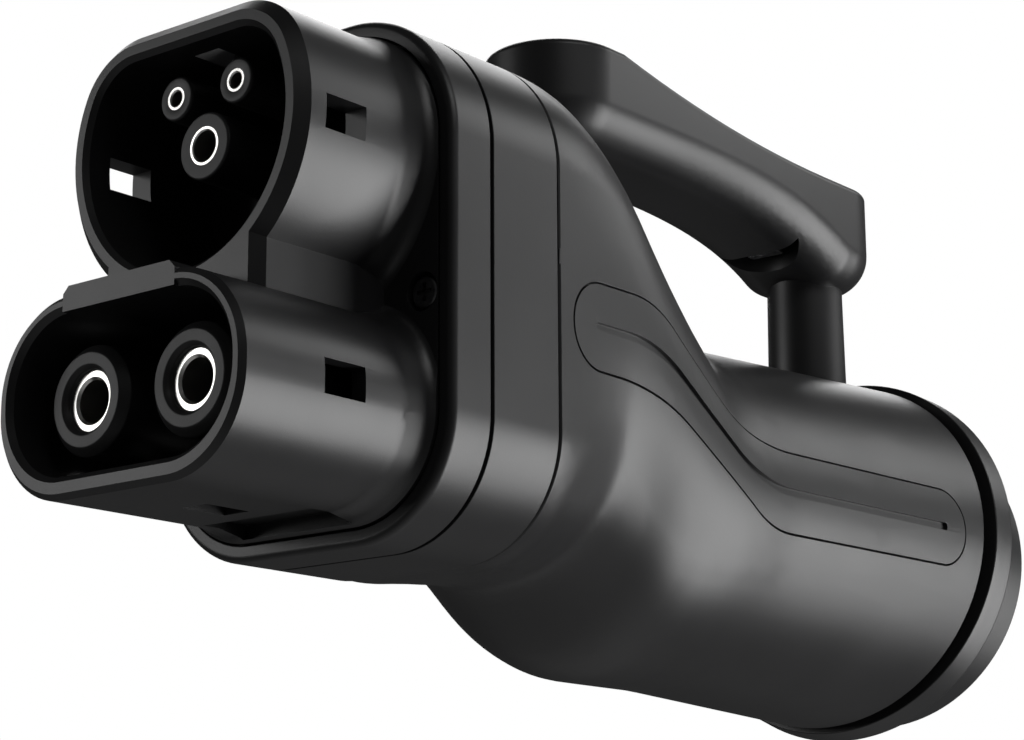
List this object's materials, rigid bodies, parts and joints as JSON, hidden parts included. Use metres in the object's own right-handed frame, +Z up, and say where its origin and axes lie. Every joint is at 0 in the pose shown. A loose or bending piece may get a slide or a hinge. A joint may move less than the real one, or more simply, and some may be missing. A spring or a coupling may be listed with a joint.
{
  "type": "ev charging plug",
  "caption": "Combined direct-current charging plug with two stacked shrouds, silver contacts, a loop carry handle and a round inlet at the back.",
  "frame": {"origin": "earth contact's axis in the plane of the upper shroud's lip", "axes": "+Y from the nose to the inlet at the back, +X to the right seen from the front (plus contact at -X), +Z up towards the handle"},
  "size_m": [0.0904, 0.268, 0.1441],
  "materials": {
    "shroud_plastic": "satin moulded, fine grain",
    "housing_plastic": "satin moulded, fine grain",
    "inlay_plastic": "satin moulded, fine grain",
    "seal_rubber": "matt",
    "insulator_plastic": "satin moulded",
    "contact_silver": "silver plated, turned",
    "screw_steel": "zinc plated",
    "port_steel": "folded sheet",
    "copper": "bare bar",
    "fuse_body": "glazed",
    "circuit_board": "lacquered"
  },
  "bodies": {
    "root": {"nose_shroud": "shroud_plastic", "front_bezel": "housing_plastic", "middle_ring": "housing_plastic", "body_shell": "housing_plastic", "carry_handle": "housing_plastic", "rear_ring": "housing_plastic", "inlet_barrel": "housing_plastic", "side_inlay_left": "inlay_plastic", "side_inlay_right": "inlay_plastic", "bezel_seal": "seal_rubber", "rear_seal": "seal_rubber", "signal_carrier": "insulator_plastic", "power_carrier": "insulator_plastic", "earth_guide": "insulator_plastic", "pilot_guide": "insulator_plastic", "proximity_guide": "insulator_plastic", "power_guide_plus": "insulator_plastic", "power_guide_minus": "insulator_plastic", "inlet_insert": "insulator_plastic", "earth_contact": "contact_silver", "pilot_contact": "contact_silver", "proximity_contact": "contact_silver", "power_contact_plus": "contact_silver", "power_contact_minus": "contact_silver", "inlet_power_pin_plus": "contact_silver", "inlet_power_pin_minus": "contact_silver", "inlet_signal_pin_1": "contact_silver", "inlet_signal_pin_2": "contact_silver", "inlet_signal_pin_3": "contact_silver", "inlet_signal_pin_4": "contact_silver", "inlet_signal_pin_5": "contact_silver", "inlet_signal_pin_6": "contact_silver", "inlet_signal_pin_7": "contact_silver", "nose_screw_left": "screw_steel", "nose_screw_right": "screw_steel", "handle_bolt_front": "screw_steel", "handle_bolt_rear": "screw_steel", "service_port": "port_steel", "bar_minus": "copper", "bar_plus_front": "copper", "bar_plus_rear": "copper", "earth_bar": "copper", "fuse": "fuse_body", "control_board": "circuit_board"}
  },
  "joints": []
}
